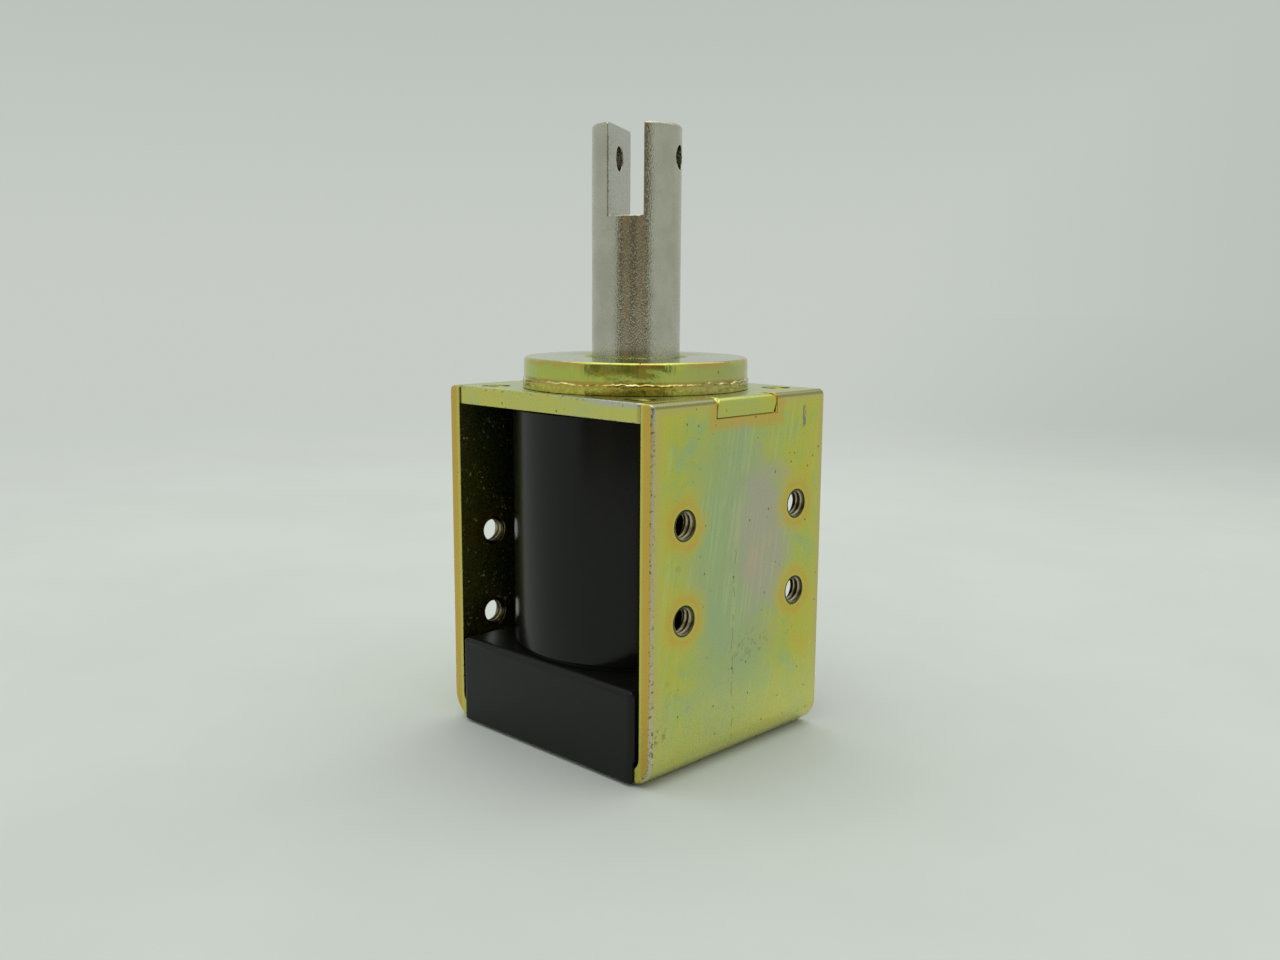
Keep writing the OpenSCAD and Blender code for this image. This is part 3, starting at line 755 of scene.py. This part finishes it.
def make_jacket():
    """The jacket's skin, with rounded outer corners and a hair of room under the plate."""
    outer, inner = JACKET_HI.x, JACKET_HI.x - JACKET_WALL
    low, high = JACKET_LO.z, PLATE_LO.z - JACKET_GAP
    profile = [(inner, low)]
    profile += arc((outer - JACKET_EDGE, low + JACKET_EDGE), JACKET_EDGE, -90, 0, 5)
    profile += arc((outer - JACKET_EDGE, high - JACKET_EDGE), JACKET_EDGE, 0, 90, 5)
    profile += [(inner, high)]
    jacket = link("coil_jacket_skin", lathe("coil_jacket_skin", profile, 240, 40), CASE)
    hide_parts("coil_jacket")
    return jacket


# Threads: pitch, depth of the grooves, points round one turn and rows of points along one pitch
THREAD_PITCH = 0.794 * MM
THREAD_DEPTH = 0.42 * MM
THREAD_STEPS = 48
THREAD_ROWS = 16
# Length over which a thread fades out at each open end, and the room that its lining leaves there
LEAD_IN = 0.2 * MM
THREAD_MARGIN = 0.03 * MM


def thread_ring(bm, origin, axis_matrix, length, turns_in=0.0):
    """One threaded lining of a hole, from its origin along its axis."""
    depth_layer = bm.verts.layers.float["depth"]
    rows = int(length / THREAD_PITCH * THREAD_ROWS)
    major, minor = HOLE_R + 0.01 * MM, HOLE_R - THREAD_DEPTH
    inner, outer = [], []
    for j in range(rows + 1):
        h = length * j / rows
        inner_ring, outer_ring = [], []
        open_end = min(h, length - h)
        for i in range(THREAD_STEPS):
            a = 2 * math.pi * i / THREAD_STEPS
            phase = (h / THREAD_PITCH - i / THREAD_STEPS + turns_in) % 1.0
            crest = 1 - min(1.0, max(0.0, abs(phase - 0.5) - 0.06) / 0.38)
            crest = min(crest, open_end / LEAD_IN)
            r = major - 0.02 * MM - (major - minor) * crest
            around = Vector((math.cos(a), math.sin(a), 0))
            for ring, radius, value in ((inner_ring, r, crest), (outer_ring, major, 0.0)):
                vert = bm.verts.new(origin + axis_matrix @ (around * radius + Vector((0, 0, h))))
                vert[depth_layer] = value
                ring.append(vert)
        inner.append(inner_ring)
        outer.append(outer_ring)
    pairs = [(i, (i + 1) % THREAD_STEPS) for i in range(THREAD_STEPS)]
    for j in range(rows):
        for i, n in pairs:
            bm.faces.new((inner[j][i], inner[j][n], inner[j + 1][n], inner[j + 1][i]))
            bm.faces.new((outer[j][n], outer[j][i], outer[j + 1][i], outer[j + 1][n]))
    for j in (0, rows):
        for i, n in pairs:
            bm.faces.new((inner[j][n], inner[j][i], outer[j][i], outer[j][n]))


def thread_piece(name, rings):
    """A piece of several threaded linings, each given as (origin, turn, length, start of its turns)."""
    bm = bmesh.new()
    bm.verts.layers.float.new("depth")
    for ring in rings:
        thread_ring(bm, *ring)
    return link(name, mesh_of(name, bm, 40), CASE)


def leg_rings():
    """The linings of the eight holes in the legs."""
    for mount in ("right_leg_holes", "left_leg_holes"):
        centre = Vector(MOUNTS[mount]["pos_m"])
        side = MOUNTS[mount]["axis"][0]
        turn = Matrix.Rotation(-side * math.pi / 2, 3, "Y")
        for y in (-HOLE_Y, HOLE_Y):
            for z in (-HOLE_Z, HOLE_Z):
                start = centre + Vector((-side * THREAD_MARGIN, y, z))
                yield start, turn, STEEL_T - 2 * THREAD_MARGIN, y + z


def plate_rings():
    """The linings of the holes in the top plate."""
    for x in (-PLATE_HOLE_X, PLATE_HOLE_X):
        for y in (-PLATE_HOLE_Y, PLATE_HOLE_Y):
            start = Vector((x, y, PLATE_LO.z + THREAD_MARGIN))
            yield start, Matrix.Identity(3), PLATE_HI.z - PLATE_LO.z - 2 * THREAD_MARGIN


def dress():
    """Gives every piece its skin and its material."""
    leg_cuts = [("Z", z + side * HOLE_Z) for z in (RIGHT_Z, LEFT_Z) for side in (-1, 1)] + [("Y", 0)]
    plate_cuts = [("Y", -PLATE_HOLE_Y), ("Y", 0), ("Y", PLATE_HOLE_Y)]
    base_cuts = [("X", -BLADE_X), ("X", 0), ("X", BLADE_X)]

    bracket = edge_rounded("frame_bracket", CASE, FRAME_ROLL, leg_cuts, frame_rollover, segments=4)
    paint(bracket, chromate("leg_chromate", "legs"))
    plate = edge_rounded("top_plate", CASE, PLATE_ROLL, plate_cuts, plate_rollover, slant_tab, segments=4)
    paint(plate, chromate("plate_chromate", "plate"))
    rod = edge_rounded("plunger", ROD, ROD_EDGE, [("Z", PIN_Z)], rod_edges)
    paint(rod, nickel("nickel_plate"))
    base = edge_rounded("terminal_base", CASE, BASE_EDGE, base_cuts)
    paint(base, black_plastic("base_black", (0.0055, 0.0058, 0.0055), 0.34, 0.27))
    paint(make_disc(), chromate("disc_chromate", "disc"))
    paint(make_jacket(), black_plastic("jacket_black", (0.004, 0.0043, 0.004), 0.2, 0.26, 0.45))
    leg_threads = thread_piece("leg_threads", leg_rings())
    paint(leg_threads, thread_metal("cut_thread", (0.52, 0.46, 0.30), (0.10, 0.085, 0.05)))
    plate_threads = thread_piece("plate_threads", plate_rings())
    paint(plate_threads, thread_metal("plated_thread", (0.38, 0.37, 0.06), (0.10, 0.09, 0.02)))

    brass = plain_metal("drawn_brass", (0.62, 0.50, 0.26), 0.3)
    steel = plain_metal("turned_steel", (0.45, 0.45, 0.46), 0.32)
    copper = copper_wire("enamelled_copper")
    woven = sleeving("woven_sleeve")
    for name, x in (("terminal_left", -BLADE_X), ("terminal_right", BLADE_X)):
        blade = edge_rounded(name, CASE, BLADE_EDGE, [("X", x)])
        paint(blade, brass)
    plain_nodes = {
        "guide_tube": brass, "nose_washer": brass, "pole_piece": steel, "nose_rivet": steel,
        "spring_washer": steel, "winding": copper, "start_lead": copper, "finish_lead": copper,
        "winding_wrap": film_wrap("wrap_film"), "start_sleeve": woven, "finish_sleeve": woven,
        "bobbin": black_plastic("bobbin_black", (0.006, 0.006, 0.006), 0.4),
    }
    for name, material in plain_nodes.items():
        shade(frame["nodes"][name].data, 35)
        paint(frame["nodes"][name], material)


# ---------------------------------------------------------------- stage, light and camera

PAPER = (0.565, 0.60, 0.565)
# The paper's tone where painted shade darkens it
PAPER_SHADE = (0.48, 0.52, 0.48)
FLOOR_DYE = (0.565, 0.595, 0.56)
SKY = (0.96, 0.99, 0.96)
CEILING = (1.25, 1.3, 1.22)
ROOM_WARM = (0.30, 0.24, 0.15)
ROOM_DARK = (0.13, 0.12, 0.08)

# In metres: where the paper ends in mirrored views, the floor's edge, and its gap under the bracket
PAPER_END = 0.7
FLOOR_REACH = 3.0
FLOOR_GAP = 0.05 * MM

# Angles in degrees: how far the dim room's middle lies beside the camera, and where the room fades out
ROOM_ASIDE = 8
ROOM_INNER, ROOM_OUTER = 37, 47

# The camera's place in metres, its angles in degrees and its focal length in mm on a sensor 36 mm wide
CAMERA_AT = Vector((0.12097, -0.12361, 0.06466))
CAMERA_YAW, CAMERA_PITCH, CAMERA_ROLL = 44.145, -9.176, 0.372
CAMERA_LENS, SENSOR_WIDTH = 33.43, 36


def share_along(g, vector, angle):
    """Cosine between a place or direction, seen from above, and the way at this angle from +X."""
    x, y = g.axes(vector)[:2]
    along = g.plus(g.times(x, math.cos(angle)), g.times(y, math.sin(angle)))
    return g.over(along, g.most(g.length(x, y), 0.001))


def room_side(g, vector):
    """Two values: 1 where a place or a direction lies towards the dim room, and the tone of its stripes."""
    towards = math.radians(CAMERA_YAW - ROOM_ASIDE - 90)
    aside = g.math("ARCCOSINE", share_along(g, vector, towards))
    stripes = g.fade(g.math("COSINE", g.times(aside, 9.5)), -1.0, 1.0)
    within = g.fade(aside, math.radians(ROOM_OUTER), math.radians(ROOM_INNER))
    return within, g.mix(stripes, ROOM_WARM, ROOM_DARK)


def dim_side(g, vector):
    """1 far to the right of the picture, where painted shade makes the paper a little darker."""
    return g.fade(share_along(g, vector, math.radians(CAMERA_YAW)), 0.12, 0.62)


def floor_mesh():
    """A flat disc of paper."""
    bm = bmesh.new()
    turns = [2 * math.pi * i / 96 for i in range(96)]
    bm.faces.new([bm.verts.new((FLOOR_REACH * math.cos(a), FLOOR_REACH * math.sin(a), 0)) for a in turns])
    mesh = bpy.data.meshes.new("floor")
    bm.to_mesh(mesh)
    bm.free()
    return mesh


def make_floor():
    """Pale paper, which takes shadows near the object and glows further out, darkened to the right by painted
    shade.
    """
    floor = bpy.data.objects.new("floor", floor_mesh())
    floor.location.z = FRAME_LO.z - FLOOR_GAP
    bpy.context.scene.collection.objects.link(floor)
    g = Graph("paper")
    place = g.position()
    mottle = g.noise(place, 14.0, 4, 0.6)
    paper = g.mix(g.fade(mottle, 0.35, 0.65), tuple(0.96 * c for c in FLOOR_DYE), FLOOR_DYE)
    values = {"Base Color": paper, "Roughness": 0.85, "Specular IOR Level": 0.2}
    shader = g.add("ShaderNodeBsdfPrincipled", values)
    far = g.add("ShaderNodeVectorMath", {0: place}, operation="LENGTH").outputs["Value"]
    path = g.add("ShaderNodeLightPath")
    seen, mirrored = path.outputs["Is Camera Ray"], path.outputs["Is Glossy Ray"]
    on_room_side, room = room_side(g, place)
    beyond = g.times(on_room_side, g.fade(far, PAPER_END - 0.02, PAPER_END + 0.02), mirrored)
    # Painted shade darkens the floor's glow to the right
    paper_glow = g.mix(g.times(dim_side(g, place), seen), PAPER, PAPER_SHADE)
    glow = g.add("ShaderNodeEmission", {"Color": g.mix(beyond, paper_glow, room), "Strength": 1.0})
    glowing = g.most(g.times(g.fade(far, 0.14, 0.5), seen), g.times(g.fade(far, 0.026, 0.055), mirrored))
    blend = g.add("ShaderNodeMixShader", {0: glowing, 1: shader.outputs[0], 2: glow.outputs[0]})
    g.tree.links.new(blend.outputs[0], g.output.inputs[0])
    floor.data.materials.append(g.material)


def make_world():
    """A pale studio with a dim brown room on the camera's side, and the paper's colour behind the object,
    darkened by painted shade upwards and to the right.
    """
    world = bpy.data.worlds.new("studio")
    bpy.context.scene.world = world
    world.use_nodes = True
    g = Graph.__new__(Graph)
    g.tree = world.node_tree
    g.tree.nodes.clear()
    g.output = g.tree.nodes.new("ShaderNodeOutputWorld")
    way = g.add("ShaderNodeTexCoord").outputs["Generated"]
    z = g.axes(way)[2]
    path = g.add("ShaderNodeLightPath")
    seen, mirrored = path.outputs["Is Camera Ray"], path.outputs["Is Glossy Ray"]
    mirrored_sky = g.mix(g.fade(z, 0.88, 0.97), PAPER, CEILING)
    sky = g.mix(g.fade(z, 0.05, 0.85), PAPER, g.mix(mirrored, SKY, mirrored_sky))
    on_room_side, room = room_side(g, way)
    light = g.mix(g.times(on_room_side, mirrored, g.fade(z, 0.8, 0.5)), sky, room)
    # Painted shade darkens the backdrop upwards and to the right
    backdrop = g.mix(g.most(g.fade(z, -0.02, 0.32), dim_side(g, way)), PAPER, PAPER_SHADE)
    back = g.add("ShaderNodeBackground", {"Color": g.mix(seen, light, backdrop), "Strength": 1.0})
    g.tree.links.new(back.outputs[0], g.output.inputs[0])


def make_lamp():
    """One large soft light overhead, behind the object."""
    data = bpy.data.lights.new("overhead", "AREA")
    data.shape = "RECTANGLE"
    data.size, data.size_y = 0.9, 0.9
    data.energy = 1.7
    lamp = bpy.data.objects.new("overhead", data)
    lamp.location = (-0.06, 0.14, 0.65)
    target = Vector((0, 0, 0.02))
    lamp.rotation_euler = (target - lamp.location).to_track_quat("-Z", "Y").to_euler()
    bpy.context.scene.collection.objects.link(lamp)


def make_camera():
    """The camera at the photograph's viewing angle."""
    yaw, pitch, roll = (math.radians(v) for v in (CAMERA_YAW, CAMERA_PITCH, CAMERA_ROLL))
    ahead = Vector((-math.sin(yaw) * math.cos(pitch), math.cos(yaw) * math.cos(pitch), math.sin(pitch)))
    level = Vector((math.cos(yaw), math.sin(yaw), 0))
    upward = level.cross(ahead)
    right = math.cos(roll) * level + math.sin(roll) * upward
    up = ahead.cross(right) * -1
    turn = Matrix((right, up, -ahead)).transposed()
    data = bpy.data.cameras.new("camera")
    data.sensor_width = SENSOR_WIDTH
    data.lens = CAMERA_LENS
    data.clip_start = 0.005
    camera = bpy.data.objects.new("camera", data)
    camera.matrix_world = Matrix.Translation(CAMERA_AT) @ turn.to_4x4()
    bpy.context.scene.collection.objects.link(camera)
    bpy.context.scene.camera = camera


dress()
make_floor()
make_world()
make_lamp()
make_camera()
bpy.context.scene.view_settings.view_transform = "Standard"
